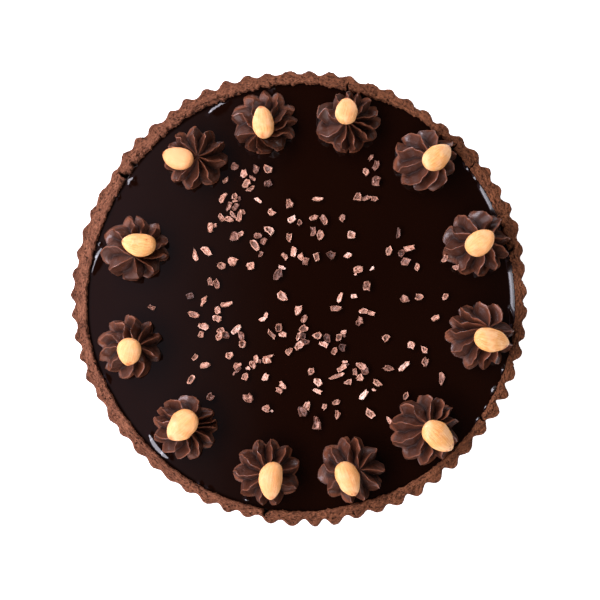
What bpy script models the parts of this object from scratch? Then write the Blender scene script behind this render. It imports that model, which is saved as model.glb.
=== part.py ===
"""A chocolate tart: a fluted cocoa crust, a level ganache filling, and a ring of piped ganache rosettes,
each with a blanched almond pressed into it. Metres, +Z up, the origin under the middle of the base."""

import math

import bmesh
import bpy
import numpy as np
from mathutils import Vector

MM = 0.001
GAP = 0.3 * MM  # between pieces that touch

# The crust: baked in a fluted tin of 280 mm, trimmed level at the rim.
RIM_RADIUS = 137.7 * MM  # halfway between a flute's ridge and its hollow
CRUST_HEIGHT = 28 * MM
FLUTES = 66
FLUTE_DEPTH = 2.8 * MM
FLUTE_PHASE = math.radians(0.5)
FLUTE_ROUNDING = 0.35  # 0 is a sharp ridge, 1 is nearly a sine
WALL_LEAN = 6 * MM  # how much narrower the base is than the rim
RIM_ROUNDING = 1.2 * MM
RIM_INNER_RADIUS = 131.8 * MM
BASE_THICKNESS = 5 * MM
SAMPLES_PER_FLUTE = 4

FILLING_TOP = 25.2 * MM
FILLING_SIDES = 88

# A rosette's two outlines from its tip to its foot, as shares of its radius and height, and how wide
# the fins are on the way down: below 1 a fin is thin with a broad groove, above 1 it is broad with a notch.
FIN_OUTLINE = ((0.0, 1.0), (0.38, 0.94), (0.72, 0.76), (0.95, 0.40), (0.98, 0.0))
GROOVE_OUTLINE = ((0.0, 1.0), (0.24, 0.78), (0.48, 0.46), (0.70, 0.18), (0.80, 0.0))
FIN_FULLNESS = (0.5, 0.5, 0.8, 1.5, 2.5)
TIP_LEAN = 0.6  # how late, going down, the tip's offset dies out
SAMPLES_PER_FIN = 4

ALMOND_THICKNESS = 8.6 * MM
ALMOND_SIDES = 10
ALMOND_RINGS = 8
ALMOND_BLUNTNESS = 0.45
ALMOND_WIDEST = 0.43  # share of the length, from the blunt end
ALMOND_SEAT = 3 * MM  # how deep an almond is pressed into the ganache

# Each rosette, going round the tart: direction and distance of its middle, radius, height, where its tip lies
# from its middle, the turn of its fins from foot to tip, and the directions of its fins.
ROSETTES = (
    dict(at=15.6, out=111.5, radius=21.0, height=17, tip=(1.5, 0), twist=6,
         fins=(7, 34, 60, 86, 116, 144, 174, 206, 232, 254, 282, 318, 343)),
    dict(at=47, out=112, radius=19.8, height=17, tip=(3, -1.5), twist=-8,
         fins=(5, 34, 64, 90, 124, 150, 172, 199, 232, 259, 291, 334)),
    dict(at=74.4, out=111, radius=20.6, height=17, tip=(-1.5, -3.5), twist=0,
         fins=(21, 46, 78, 107, 132, 156, 181, 209, 238, 266, 292, 325, 350)),
    dict(at=101.9, out=108.8, radius=21.0, height=15, tip=(-4, -11.5), twist=-4,
         fins=(0, 25, 60, 90, 116, 142, 170, 193, 215, 253, 298, 333)),
    dict(at=127.8, out=106, radius=20.4, height=16, tip=(2.5, -2.5), twist=0,
         fins=(0, 28, 63, 92, 127, 161, 195, 231, 263, 292, 322)),
    dict(at=164.7, out=104.8, radius=21.2, height=16, tip=(1.5, -8), twist=4,
         fins=(10, 43, 75, 114, 154, 178, 200, 228, 256, 280, 311, 347)),
    dict(at=197.8, out=109, radius=20.2, height=17, tip=(6.5, -1), twist=8,
         fins=(20, 46, 70, 97, 132, 173, 204, 230, 260, 296, 324, 352)),
    dict(at=229.8, out=107.2, radius=19.9, height=17, tip=(2, 0), twist=0,
         fins=(5, 32, 68, 97, 129, 154, 177, 200, 232, 259, 290, 332)),
    dict(at=259.5, out=110.5, radius=20.6, height=17, tip=(0.5, 0), twist=-6,
         fins=(14, 47, 82, 106, 146, 180, 221, 255, 290, 331)),
    dict(at=285.7, out=111, radius=20.4, height=17, tip=(5, 0), twist=0,
         fins=(3, 36, 74, 101, 137, 175, 205, 233, 262, 294, 329)),
    dict(at=311.5, out=111.5, radius=21.6, height=17, tip=(1.5, 3), twist=-4,
         fins=(14, 40, 68, 98, 132, 164, 200, 234, 261, 300, 340)),
    dict(at=346, out=111.2, radius=20.8, height=17, tip=(4.5, 4.5), twist=4,
         fins=(7, 35, 65, 92, 124, 150, 178, 210, 245, 274, 304, 340)),
)

# The almond on each rosette: its middle from the rosette's, its length and width, where it points, its dip.
ALMONDS = (
    dict(offset=(0, -2), length=19.5, width=15.0, heading=35, dip=-22),
    dict(offset=(6.2, -1.6), length=21.2, width=14.6, heading=41, dip=10),
    dict(offset=(-2, 1.9), length=18.5, width=14.4, heading=84, dip=16),
    dict(offset=(-0.5, -4), length=20.8, width=13.6, heading=98, dip=2),
    dict(offset=(-9.6, -3.4), length=21.5, width=14.2, heading=158, dip=20),
    dict(offset=(4.2, -1), length=20.6, width=14.6, heading=173, dip=-8),
    dict(offset=(2.2, -4.5), length=17.4, width=15.0, heading=257, dip=24),
    dict(offset=(-0.5, 0.7), length=21.6, width=16.6, heading=225, dip=4),
    dict(offset=(2.5, -4.5), length=22.6, width=14.6, heading=264, dip=10),
    dict(offset=(-2.3, -5.3), length=21.6, width=14.0, heading=293, dip=10),
    dict(offset=(7.2, -4), length=23.4, width=15.4, heading=318, dip=16),
    dict(offset=(5.4, -4), length=22.4, width=15.0, heading=348, dip=12),
)


def clear_scene():
    for obj in list(bpy.data.objects):
        bpy.data.objects.remove(obj, do_unlink=True)


def material(name, colour, roughness, specular=0.5):
    made = bpy.data.materials.new(name)
    made.use_nodes = True
    shader = made.node_tree.nodes["Principled BSDF"]
    shader.inputs["Base Color"].default_value = (*colour, 1.0)
    shader.inputs["Roughness"].default_value = roughness
    shader.inputs["Metallic"].default_value = 0.0
    shader.inputs["Specular IOR Level"].default_value = specular
    return made


def add_object(name, bm, finish):
    mesh = bpy.data.meshes.new(name)
    bm.to_mesh(mesh)
    bm.free()
    mesh.materials.append(finish)
    mesh.shade_smooth()
    mesh.set_sharp_from_angle(angle=math.radians(40))
    obj = bpy.data.objects.new(name, mesh)
    bpy.context.scene.collection.objects.link(obj)
    return obj


def make_cutter(obj):
    obj.hide_render = True
    obj.display_type = "WIRE"
    return obj


def cut(obj, cutter):
    boolean = obj.modifiers.new("cut by " + cutter.name, "BOOLEAN")
    boolean.operation = "DIFFERENCE"
    boolean.object = cutter


def turned(profile, steps):
    """A closed solid of revolution about Z. The profile starts and ends on the axis."""
    bm = bmesh.new()
    points = [bm.verts.new((radius, 0, height)) for radius, height in profile]
    edges = [bm.edges.new(pair) for pair in zip(points, points[1:])]
    bmesh.ops.spin(bm, geom=points + edges, axis=(0, 0, 1), cent=(0, 0, 0), angle=math.tau, steps=steps)
    bmesh.ops.remove_doubles(bm, verts=bm.verts, dist=0.01 * MM)
    bmesh.ops.recalc_face_normals(bm, faces=bm.faces)
    return bm


def flute(angle):
    """The wall's ripple, -0.5 in a hollow to 0.5 on a ridge: a rectified sine with its cusp rounded off."""
    wave = abs(math.sin(FLUTES * (angle - FLUTE_PHASE) / 2))
    low = math.hypot(0, FLUTE_ROUNDING)
    high = math.hypot(1, FLUTE_ROUNDING)
    return 0.5 - (math.hypot(wave, FLUTE_ROUNDING) - low) / (high - low)


def inner_radius(height):
    """The crust's inner wall at a height above the base."""
    share = (height - BASE_THICKNESS) / (CRUST_HEIGHT - BASE_THICKNESS)
    return RIM_INNER_RADIUS - WALL_LEAN * (1 - share)


def push_flutes(bm):
    """Moves each point of the crust's outer wall out or in by the ripple of the flutes."""
    for point in bm.verts:
        radius = math.hypot(point.co.x, point.co.y)
        if radius > inner_radius(point.co.z) + 2 * MM:
            moved = radius + FLUTE_DEPTH * flute(math.atan2(point.co.y, point.co.x))
            point.co.xy *= moved / radius


def build_crust(finish):
    foot = RIM_RADIUS - WALL_LEAN
    inner_foot = RIM_INNER_RADIUS - WALL_LEAN
    profile = (
        (0, 0),
        (foot, 0),
        (RIM_RADIUS, CRUST_HEIGHT - RIM_ROUNDING),
        (RIM_RADIUS - RIM_ROUNDING, CRUST_HEIGHT),
        (RIM_INNER_RADIUS, CRUST_HEIGHT),
        (inner_foot, BASE_THICKNESS),
        (0, BASE_THICKNESS),
    )
    bm = turned(profile, FLUTES * SAMPLES_PER_FLUTE)
    push_flutes(bm)
    return add_object("crust", bm, finish)


def build_filling(finish):
    low = BASE_THICKNESS + GAP
    profile = (
        (0, low),
        (inner_radius(low) - GAP, low),
        (inner_radius(FILLING_TOP) - GAP, FILLING_TOP),
        (0, FILLING_TOP),
    )
    bm = turned(profile, FILLING_SIDES)
    return add_object("filling", bm, finish)


def build_rim_cutter():
    """The room that the crust's wall takes, with the gap round it, which is cut from rosettes at the edge."""
    outer = RIM_RADIUS + 20 * MM
    top = CRUST_HEIGHT + GAP
    bm = bmesh.new()
    corners = ((inner_radius(0) - GAP, 0), (outer, 0), (outer, top), (inner_radius(top) - GAP, top))
    points = [bm.verts.new((radius, 0, height)) for radius, height in corners]
    edges = [bm.edges.new((points[i], points[(i + 1) % len(points)])) for i in range(len(points))]
    bmesh.ops.spin(
        bm, geom=points + edges, axis=(0, 0, 1), cent=(0, 0, 0), angle=math.tau, steps=FILLING_SIDES
    )
    bmesh.ops.remove_doubles(bm, verts=bm.verts, dist=0.01 * MM)
    bmesh.ops.recalc_face_normals(bm, faces=bm.faces)
    return make_cutter(add_object("rim_room", bm, None))


def rosette_ring(step, style):
    """One ring of a rosette: points that swing between the fin outline and the groove outline."""
    down = step / (len(FIN_OUTLINE) - 1)
    fin = Vector(FIN_OUTLINE[step])
    groove = Vector(GROOVE_OUTLINE[step])
    fins = style["fins"]
    ring = []
    for i in range(len(fins) * SAMPLES_PER_FIN):
        before, share = divmod(i / SAMPLES_PER_FIN, 1)
        first = fins[int(before)]
        after = fins[(int(before) + 1) % len(fins)]
        from_fin = 1 - abs(2 * share - 1)
        radius, height = fin.lerp(groove, from_fin ** FIN_FULLNESS[step])
        angle = math.radians(first + share * ((after - first) % 360) - style["twist"] * (1 - down**2))
        point = Vector(style["tip"]) * height**TIP_LEAN
        point += style["radius"] * radius * Vector((math.cos(angle), math.sin(angle)))
        point *= min(1, 0.98 * style["radius"] / point.length)
        ring.append((point.x * MM, point.y * MM, style["height"] * MM * height))
    return ring


def build_rosette(number, style, finish):
    bm = bmesh.new()
    tip = bm.verts.new((style["tip"][0] * MM, style["tip"][1] * MM, style["height"] * MM))
    rings = [[bm.verts.new(p) for p in rosette_ring(step, style)] for step in range(1, len(FIN_OUTLINE))]
    count = len(rings[0])
    for i in range(count):
        bm.faces.new((tip, rings[0][i], rings[0][(i + 1) % count]))
    for upper, lower in zip(rings, rings[1:]):
        for i in range(count):
            after = (i + 1) % count
            bm.faces.new((upper[i], lower[i], lower[after], upper[after]))
    bm.faces.new(reversed(rings[-1]))
    bmesh.ops.triangulate(bm, faces=bm.faces)
    obj = add_object(f"rosette_{number:02d}", bm, finish)
    at = math.radians(style["at"])
    out = style["out"] * MM
    obj.location = (out * math.cos(at), out * math.sin(at), FILLING_TOP + GAP)
    return obj


def almond_mesh(length, width, thickness):
    """A teardrop nut along X: a sphere whose girth follows the nut's outline, blunt at -X, pointed at +X."""
    bm = bmesh.new()
    bmesh.ops.create_uvsphere(bm, u_segments=ALMOND_SIDES, v_segments=ALMOND_RINGS, radius=1)
    blunt = ALMOND_BLUNTNESS
    pointed = blunt * (1 - ALMOND_WIDEST) / ALMOND_WIDEST
    fullest = ALMOND_WIDEST**blunt * (1 - ALMOND_WIDEST) ** pointed
    for point in bm.verts:
        along = min(max((1 + point.co.z) / 2, 0), 1)
        girth = along**blunt * (1 - along) ** pointed / fullest
        around = math.atan2(point.co.y, point.co.x)
        point.co = (
            (along - 0.5) * length,
            girth * math.cos(around) * width / 2,
            girth * math.sin(around) * thickness / 2,
        )
    bmesh.ops.remove_doubles(bm, verts=bm.verts, dist=0.01 * MM)
    bmesh.ops.recalc_face_normals(bm, faces=bm.faces)
    return bm


def dome_height(share):
    """A rosette's height at a share of its radius, from its fin outline, as a share of its full height."""
    return float(np.interp(share, *zip(*FIN_OUTLINE[:-1])))


def build_almond(number, nut, style, rosette, finish):
    """The almond lies on the rosette with its tip dipping outwards, and its seat is cut from the ganache."""
    offset = Vector(nut["offset"]) * MM
    from_tip = (offset - Vector(style["tip"]) * MM).length / (style["radius"] * MM)
    lying_on = dome_height(from_tip) * style["height"] * MM
    size = (nut["length"] * MM, nut["width"] * MM, ALMOND_THICKNESS)
    almond = add_object(f"almond_{number:02d}", almond_mesh(*size), finish)
    seat = add_object(f"almond_seat_{number:02d}", almond_mesh(*(side + 2.6 * GAP for side in size)), finish)
    for obj in (almond, make_cutter(seat)):
        obj.rotation_euler = (0, math.radians(nut["dip"]), math.radians(nut["heading"]))
        obj.location = rosette.location + Vector((*offset, lying_on + ALMOND_THICKNESS / 2 - ALMOND_SEAT))
    cut(rosette, seat)
    return almond


def build_tart():
    clear_scene()
    pastry = material("baked cocoa pastry", (0.17, 0.065, 0.026), 0.85, 0.3)
    ganache = material("glossy ganache", (0.010, 0.004, 0.002), 0.12)
    piped = material("piped ganache", (0.045, 0.018, 0.012), 0.42)
    nut = material("blanched almond", (0.80, 0.52, 0.22), 0.45)
    build_crust(pastry)
    build_filling(ganache)
    rim_room = build_rim_cutter()
    for number, (style, almond) in enumerate(zip(ROSETTES, ALMONDS), start=1):
        rosette = build_rosette(number, style, piped)
        if (style["out"] + style["radius"] + 1) * MM > inner_radius(FILLING_TOP):
            cut(rosette, rim_room)
        build_almond(number, almond, style, rosette, nut)


build_tart()
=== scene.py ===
import math

import bpy
import numpy as np
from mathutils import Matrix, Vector


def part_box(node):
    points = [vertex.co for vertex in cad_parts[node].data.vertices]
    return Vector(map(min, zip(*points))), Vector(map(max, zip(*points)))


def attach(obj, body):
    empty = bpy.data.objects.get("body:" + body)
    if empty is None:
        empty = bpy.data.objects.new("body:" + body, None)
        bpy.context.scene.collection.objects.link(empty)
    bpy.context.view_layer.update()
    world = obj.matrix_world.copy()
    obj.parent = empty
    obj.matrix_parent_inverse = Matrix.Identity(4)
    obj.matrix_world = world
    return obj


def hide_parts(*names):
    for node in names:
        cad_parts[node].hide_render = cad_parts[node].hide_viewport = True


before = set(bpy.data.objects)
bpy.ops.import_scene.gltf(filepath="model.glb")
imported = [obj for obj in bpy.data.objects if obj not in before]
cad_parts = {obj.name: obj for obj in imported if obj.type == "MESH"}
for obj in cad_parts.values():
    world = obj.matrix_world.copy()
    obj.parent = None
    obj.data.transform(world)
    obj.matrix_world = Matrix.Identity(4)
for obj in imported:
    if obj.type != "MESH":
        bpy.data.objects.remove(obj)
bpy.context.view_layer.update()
mm = 0.001
fullTurn = 2 * np.pi


# shader tools

# one socket, so that sums of sockets and numbers can be written as sums
class Wire:
    def __init__(self, finish, socket):
        self.finish = finish
        self.socket = socket

    def sum(self, operation, first, second):
        return self.finish.node("ShaderNodeMath", {"operation": operation}, {0: first, 1: second})

    def __add__(self, other):
        return self.sum("ADD", self, other)

    def __sub__(self, other):
        return self.sum("SUBTRACT", self, other)

    def __rsub__(self, other):
        return self.sum("SUBTRACT", other, self)

    def __mul__(self, other):
        return self.sum("MULTIPLY", self, other)

    __radd__ = __add__
    __rmul__ = __mul__


# a node tree being wired: node() adds any node, its settings first and its sockets after
class Finish:
    def __init__(self, tree):
        self.tree = tree

    def node(self, kind, settings, sockets, output=0):
        made = self.tree.nodes.new(kind)
        for name, value in settings.items():
            if name == "stops":
                self.setStops(made.color_ramp, value)
            else:
                setattr(made, name, value)
        for name, value in sockets.items():
            self.feed(made.inputs[name], value)
        return Wire(self, made.outputs[output])

    def setStops(self, ramp, stops):
        while len(ramp.elements) < len(stops):
            ramp.elements.new(1)
        for element, (place, colour) in zip(ramp.elements, stops):
            element.position = place
            element.color = (*colour, 1)

    def feed(self, socket, value):
        if isinstance(value, Wire):
            self.tree.links.new(value.socket, socket)
        else:
            socket.default_value = value

    def place(self):
        return self.node("ShaderNodeTexCoord", {}, {}, "Object")

    def attribute(self, name):
        return self.node("ShaderNodeAttribute", {"attribute_name": name}, {}, "Fac")

    # an even noise from 0 to 1 whose lumps are about size metres across
    def noise(self, size, detail=2, roughness=0.5, where=None):
        sockets = {
            "Vector": where or self.place(), "Scale": 1 / size,
            "Detail": detail, "Roughness": roughness,
        }
        return self.node("ShaderNodeTexNoise", {}, sockets, "Fac")

    # 0 below low, 1 above high, and a soft step between
    def step(self, value, low, high):
        sockets = {"Value": value, "From Min": low, "From Max": high}
        return self.node("ShaderNodeMapRange", {"interpolation_type": "SMOOTHSTEP"}, sockets)

    def blend(self, factor, first, second):
        mixed = {0: factor, 6: self.colour(first), 7: self.colour(second)}
        return self.node("ShaderNodeMix", {"data_type": "RGBA"}, mixed, 2)

    def colour(self, value):
        return value if isinstance(value, Wire) else (*value, 1)

    def bump(self, height, depth, under=None):
        sockets = {"Height": height, "Distance": depth, "Strength": 1.0}
        if under:
            sockets["Normal"] = under
        return self.node("ShaderNodeBump", {}, sockets)


# the colour that a screen shows as these three numbers from 0 to 255
def screen(red, green, blue):
    shares = np.array([red, green, blue]) / 255
    linear = np.where(shares <= 0.04045, shares / 12.92, ((shares + 0.055) / 1.055) ** 2.4)
    return tuple(float(v) for v in linear)


def newMaterial(name):
    material = bpy.data.materials.new(name)
    material.use_nodes = True
    finish = Finish(material.node_tree)
    shader = material.node_tree.nodes["Principled BSDF"]
    return material, finish, shader


# mesh tools

# a soft step from 0 at low to 1 at high
def softStep(value, low, high):
    share = np.clip((value - low) / (high - low), 0, 1)
    return share * share * (3 - 2 * share)


# how uneven a handmade thing is at each point, about -1 to 1: plane waves in random directions, added up
def uneven(points, size, seed, waves=28):
    rng = np.random.default_rng(seed)
    towards = rng.normal(size=(3, waves))
    towards /= np.linalg.norm(towards, axis=0)
    lengths = size * rng.uniform(0.6, 1.7, waves)
    phases = rng.uniform(0, fullTurn, waves)
    return np.cos(points @ (towards * fullTurn / lengths) + phases).sum(-1) * math.sqrt(1.2 / waves)


# a smooth curve through evenly spaced rows of numbers: each stretch is a cubic that takes its slope
# at either end from the rows on both sides
def curveThrough(rows, share, closed=False):
    rows = np.asarray(rows, float)
    count = len(rows)
    spans = count if closed else count - 1
    place = np.clip(share, 0, 1) * spans
    start = np.minimum(np.floor(place).astype(int), spans - 1)
    t = place - start
    around = [(start + k) % count if closed else np.clip(start + k, 0, count - 1) for k in (-1, 0, 1, 2)]
    a, b, c, d = (rows[k] for k in around)
    t = t.reshape(t.shape + (1,) * (rows.ndim - 1))
    return b + t / 2 * (c - a + t * (2 * a - 5 * b + 4 * c - d + t * (3 * (b - c) + d - a)))


# faces of a grid of rows by columns that closes sideways, with a point below the first row and one above
# the last
def closedFaces(rows, columns):
    column = np.arange(columns)
    after = (column + 1) % columns
    row = np.arange(rows - 1)[:, None] * columns
    quads = np.stack([row + column, row + after, row + columns + after, row + columns + column], -1)
    first, last = rows * columns, rows * columns + 1
    top = (rows - 1) * columns
    low = np.stack([np.full(columns, first), after, column], -1)
    high = np.stack([np.full(columns, last), top + column, top + after], -1)
    return quads.reshape(-1, 4).tolist() + low.tolist() + high.tolist()


# a closed piece from a grid of points and its two end points, riding on the body in place of its nodes
def addPiece(name, points, faces, material, nodes, marks=None, smooth=True):
    mesh = bpy.data.meshes.new(name)
    mesh.from_pydata(points.reshape(-1, 3).tolist(), [], faces)
    mesh.materials.append(material)
    for mark, values in (marks or {}).items():
        layer = mesh.attributes.new(mark, "FLOAT", "POINT")
        layer.data.foreach_set("value", np.ascontiguousarray(values, dtype=np.float32).ravel())
    mesh.validate()
    if smooth:
        mesh.shade_smooth()
    piece = bpy.data.objects.new(name, mesh)
    bpy.context.scene.collection.objects.link(piece)
    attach(piece, "root")
    if nodes:
        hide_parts(*nodes)
    return piece


def withEnds(grid, first, last):
    return np.vstack([grid.reshape(-1, 3), [first], [last]])


# slides and stretches points until their box is the CAD node's box
def fitToNode(points, node):
    low, high = (np.array(corner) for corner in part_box(node))
    lowest, highest = points.reshape(-1, 3).min(0), points.reshape(-1, 3).max(0)
    return low + (points - lowest) / (highest - lowest) * (high - low)


# the crust

crust = dict(
    flutes=66,
    fluteDepth=2.7 * mm,
    # the share of that depth where the flutes are deepest and where shallowest, and which way the deepest lie
    fluteShare=(1.10, 0.74, -20),
    fluteTurn=math.radians(0.5),
    # the power that makes the ridges broader than the hollows, how much it varies, and where it is greatest
    fluteFullness=(1.2, 0.3, -20),
    # how round the flutes are where they are sharpest, how much rounder where roundest, and which way that is
    fluteRounding=(1.5, 0.9, -20),
    # how the flutes stray in place and in depth: waves round the tart, their size, and where each starts
    flutePlace=((7, 0.10, 1), (19, 0.10, 2), (31, 0.08, 0)),
    fluteUneven=((5, 0.12, 2), (13, 0.10, 0), (29, 0.08, 1)),
    # how far each ridge stands out of the rest, in mm, going round from straight right
    ridges=(
        -1.1, -0.4, 0.4, 1.7, 1.7, 0.4, 1.3, 1.3, -0.2, -1.3, -0.4, 0.0, 0.4, -0.4, 1.3, 1.4, 0.6,
        0.8, 1.0, 2.5, 2.6, 2.6, 2.6, 0.2, 1.4, 1.9, 0.6, -1.2, 0.0, 0.1, 0.6, 0.8, 1.7, 1.7,
        1.3, 1.4, 1.4, 1.1, -1.0, 0.4, -1.0, -0.7, -0.8, -0.7, -0.2, 0.8, 0.7, 0.2, 1.8, 2.0,
        2.6, 2.7, 1.1, 2.3, 2.7, 3.0, 2.2, 2.2, 0.8, 1.2, 2.0, 1.7, 0.2, 1.0, -0.2, -0.1,
    ),
    wallLean=6 * mm,
    baseThickness=5 * mm,
    outerRounding=1.5 * mm,
    innerRounding=0.7 * mm,
    # the inner edge's distance from the middle every 15 degrees, in mm
    innerEdge=(
        130.2, 129.5, 129.5, 130.3, 131.1, 129.6, 131.2, 130.0, 130.0, 129.3, 128.4, 128.8,
        130.0, 130.9, 129.8, 130.2, 131.1, 131.6, 131.7, 131.2, 132.1, 132.2, 132.0, 131.7,
    ),
    columnsPerFlute=24,
    # cracks: direction in degrees, share of the rim from and to, half width and depth in mm, slant
    cracks=(
        (77.0, -0.1, 0.70, 0.80, 5.0, 0.25),
        (261.2, -0.1, 0.75, 1.9, 7.0, -0.35),
        (36.5, 0.15, 0.85, 0.45, 2.8, 0.3),
        (43.7, -0.1, 0.45, 0.75, 3.5, -0.1),
        (324.9, -0.1, 0.62, 1.15, 5.5, -0.1),
        (146.0, -0.1, 0.62, 2.4, 6.0, 0.4),
        (141.8, -0.1, 0.38, 3.0, 4.0, 0.8),
        (131.8, -0.1, 0.12, 1.5, 2.5, 0.0),
        (11.0, 0.05, 0.55, 1.3, 4.0, 1.6),
        (14.5, -0.1, 0.42, 1.6, 4.0, -1.0),
        (17.5, 0.0, 0.30, 0.8, 3.0, 1.0),
        (20.6, -0.1, 0.25, 1.2, 2.0, 0.5),
        (97.5, 0.15, 0.45, 0.5, 1.6, 1.5),
        (171.0, 0.3, 0.60, 0.25, 1.0, -0.8),
        (283.4, 0.75, 1.2, 0.45, 1.8, 0.1),
        (345.0, 0.1, 0.50, 0.70, 2.0, 1.6),
        (348.5, -0.1, 0.28, 1.10, 2.5, 1.6),
    ),
    # where the inner edge has crumbled away: from and to in degrees, share of the rim
    crumbled=(
        (93, 134, 0.24), (138, 150, 0.3), (6, 24, 0.3),
        (342, 352, 0.25), (238, 248, 0.15), (186, 204, 0.1),
    ),
    crumbledDepth=0.9 * mm,
    # cracks that run round the rim: from and to in degrees, share of the rim, half width and depth in mm
    splits=(
        (110, 121, 0.24, 0.35, 1.6), (121, 126, 0.34, 0.2, 1.0), (136, 141, 0.3, 0.3, 1.4),
        (8, 13, 0.35, 0.4, 2.2), (41, 46, 0.3, 0.2, 1.0), (343, 350, 0.45, 0.25, 1.2),
    ),
    # the crumb: the size and the height of its lumps in mm, and the seed of each
    crumb=((7, 0.22, 3), (3.0, 0.20, 4), (1.7, 0.20, 5)),
    domed=0.35 * mm,
    pitDepth=0.7 * mm,
)

crustLow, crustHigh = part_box("crust")
fillingLow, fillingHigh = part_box("filling")
rimTop = crustHigh.z
rimRadius = (crustHigh.x - crustLow.x + crustHigh.y - crustLow.y) / 4 - crust["fluteDepth"] / 2


# the ripple of the outer wall, 0.5 on a ridge and about -0.5 in a hollow: a rectified sine with its cusp
# rounded off, every flute a little different in place and depth
def flutes(angle):
    turn = crust["flutes"] * (angle - crust["fluteTurn"]) / 2
    shift = sum(size * np.cos(waves * angle + start) for waves, size, start in crust["flutePlace"])
    depth = sum((size * np.cos(waves * angle + start) for waves, size, start in crust["fluteUneven"]), 1)
    least, more, towards = crust["fluteRounding"]
    rounding = least + more * (0.5 + 0.5 * np.cos(angle - math.radians(towards)))
    deepest, shallowest, towards = crust["fluteShare"]
    away = (0.5 - 0.5 * np.cos(angle - math.radians(towards))) ** 0.6
    depth = depth * (deepest + (shallowest - deepest) * away)
    wave = np.hypot(np.sin(turn + shift), rounding)
    inward = (wave - rounding) / (np.hypot(1, rounding) - rounding)
    fullness, fuller, towards = crust["fluteFullness"]
    return 0.5 - inward ** (fullness + fuller * np.cos(angle - math.radians(towards))) * depth


# the outer wall at the rim: flutes on a circle, each ridge with its own reach
def outerWall(angle):
    wave = flutes(angle)
    reach = curveThrough(crust["ridges"], (angle / fullTurn - 0.4 / crust["flutes"]) % 1, closed=True) * mm
    return rimRadius + crust["fluteDepth"] * wave + reach * (0.65 + 0.5 * wave)


# the inner wall's distance from the middle at an angle and a height
def innerWall(angle, height):
    share = np.clip((fillingHigh.z - height) / (fillingHigh.z - crust["baseThickness"]), -0.04, 1)
    around = np.stack([np.cos(angle), np.sin(angle), 0 * angle], -1) * rimRadius
    far = 0.45 + 0.55 * np.cos(angle - math.radians(100))
    ragged = uneven(around, 5 * mm, 8) * 0.32 * mm + uneven(around, 1.8 * mm, 9) * 0.26 * mm
    return innerEdge(angle) + ragged * np.clip(far, 0.25, 1) - crust["wallLean"] * share


def innerEdge(angle):
    return curveThrough(crust["innerEdge"], (angle / fullTurn) % 1, closed=True) * mm


# columns all round, closer together at each crack
def crustAngles():
    columns = crust["flutes"] * crust["columnsPerFlute"]
    even = np.arange(columns) / columns
    angles = [even * fullTurn]
    for direction, _, _, width, _, slant in crust["cracks"]:
        reach = math.degrees((width * 0.8 + 0.3) * mm / rimRadius)
        middle = direction + math.degrees(slant * 1.2 * mm / rimRadius)
        angles.append(np.radians(np.arange(middle - reach, middle + reach, 0.09)))
    return np.unique(np.round(np.concatenate(angles) % fullTurn, 5))


# the crust is a closed profile carried round the tart: under the base, up the fluted wall, over the rim
# and down inside
def crustSurface():
    angle = crustAngles()
    outerRound, innerRound = crust["outerRounding"], crust["innerRounding"]
    outer = outerWall(angle)
    radius, level = [], []

    def addRow(rowRadius, height):
        radius.append(rowRadius)
        level.append(height + 0 * angle)

    foot = outer - crust["wallLean"]
    for rowRadius in (outer * 0.5, foot - 3 * mm, foot - 0.8 * mm):
        addRow(rowRadius, 0)
    for height in np.linspace(0.8 * mm, rimTop - outerRound, 10):
        addRow(outer - crust["wallLean"] * (1 - height / rimTop), height)
    for turn in np.radians((18, 36, 54, 72, 90)):
        addRow(outer - outerRound * (1 - math.cos(turn)), rimTop - outerRound * (1 - math.sin(turn)))
    edgeOut, edgeIn = radius[-1], innerWall(angle, rimTop) + innerRound
    for share in np.linspace(0, 1, 20)[1:]:
        addRow(edgeOut + share * (edgeIn - edgeOut), rimTop)
    for turn in np.radians((30, 60, 90)):
        height = rimTop - innerRound * (1 - math.cos(turn))
        addRow(innerWall(angle, height) + innerRound * (1 - math.sin(turn)), height)
    bottom = fillingLow.z - 0.3 * mm
    upper = np.linspace(rimTop - innerRound - 0.4 * mm, fillingHigh.z - 1.5 * mm, 6)
    for height in (*upper, 15 * mm, bottom):
        addRow(innerWall(angle, height), height)
    addRow(innerWall(angle, bottom) * 0.6, bottom)
    return angle, np.array(radius), np.array(level)


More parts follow.
